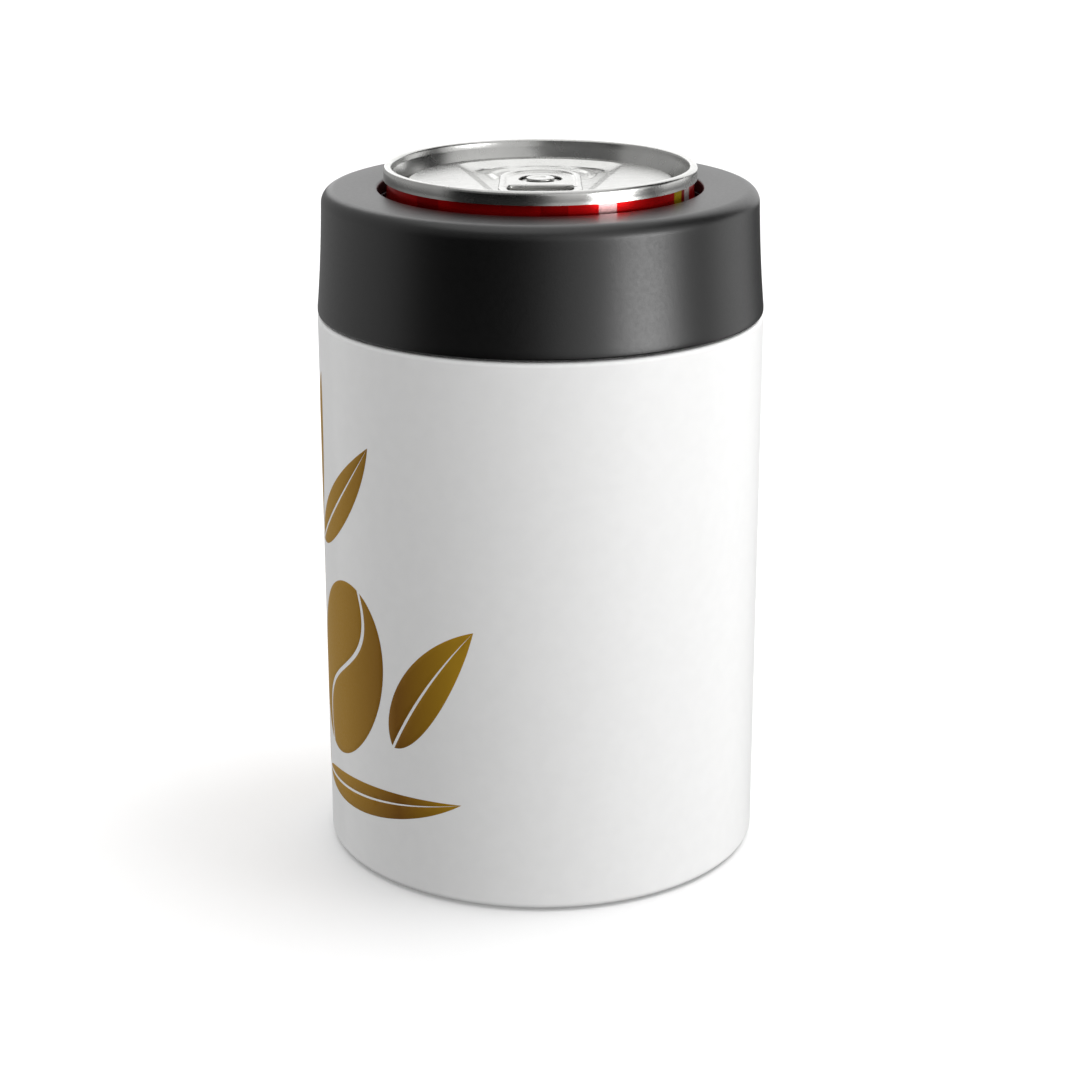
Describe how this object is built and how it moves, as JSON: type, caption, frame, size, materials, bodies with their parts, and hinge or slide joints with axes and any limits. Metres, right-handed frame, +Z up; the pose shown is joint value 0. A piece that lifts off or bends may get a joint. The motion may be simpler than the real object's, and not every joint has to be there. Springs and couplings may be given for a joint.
{
  "type": "insulated can holder",
  "caption": "Double-walled insulated can holder with a screw collar, holding a closed drink can by its shoulder.",
  "frame": {"origin": "centre of the underside, on the surface the holder stands on", "axes": "+Z up along the holder's axis; +Y from the rivet towards the can's mouth; -Y towards the tab's finger end"},
  "size_m": [0.0784, 0.0784, 0.1237],
  "materials": {
    "white_coat": "satin white coating with a gold print",
    "stainless_steel": "fine brushed stainless steel",
    "glass_solder": "dark glass solder",
    "getter_metal": "dark pressed metal powder",
    "base_silicone": "matt black silicone",
    "collar_plastic": "fine-grained black moulded plastic",
    "gasket_silicone": "smooth black silicone",
    "can_lacquer": "glossy red lacquer over drawn aluminium",
    "can_aluminium": "bright rolled aluminium, clear lacquer"
  },
  "bodies": {
    "vessel": {"outer_shell": "white_coat", "inner_liner": "stainless_steel", "base_plate": "stainless_steel", "seal_bead": "glass_solder", "getter": "getter_metal", "getter_holder": "stainless_steel", "base_cover": "stainless_steel", "base_pad": "base_silicone"},
    "gasket": {"can_gasket": "gasket_silicone"},
    "collar": {"collar_shell": "collar_plastic"},
    "can": {"can_body": "can_lacquer", "can_end": "can_aluminium", "tab_tongue": "can_aluminium"},
    "tab": {"pull_tab": "can_aluminium"},
    "panel": {"tear_panel": "can_aluminium"}
  },
  "joints": [
    {"name": "collar_turn", "type": "hinge", "parent": "gasket", "child": "collar", "pos_m": [0, 0, 0.108], "axis": [0, 0, 1], "range_deg": [0, 3240]},
    {"name": "collar_lift", "type": "slide", "parent": "vessel", "child": "gasket", "axis": [0, 0, 1], "range_m": [0, 0.136]},
    {"name": "can_lift", "type": "slide", "parent": "vessel", "child": "can", "axis": [0, 0, 1], "range_m": [0, 0.109]},
    {"name": "tab_lift", "type": "hinge", "parent": "can", "child": "tab", "pos_m": [0, 0.0032, 0.1207], "axis": [-1, 0, 0], "range_deg": [0, 85]},
    {"name": "panel_open", "type": "hinge", "parent": "can", "child": "panel", "pos_m": [-0.0087, 0.0047, 0.12], "axis": [-0.2564, 0.9666, 0], "range_deg": [0, 70]}
  ],
  "couplings": [
    {"joint": "collar_lift", "follows": "collar_turn", "m_per_rad": 0.0023873},
    {"joint": "can_lift", "follows": "collar_turn", "m_per_rad": 0.0019099},
    {"joint": "panel_open", "follows": "tab_lift", "ratio": 0.8}
  ]
}
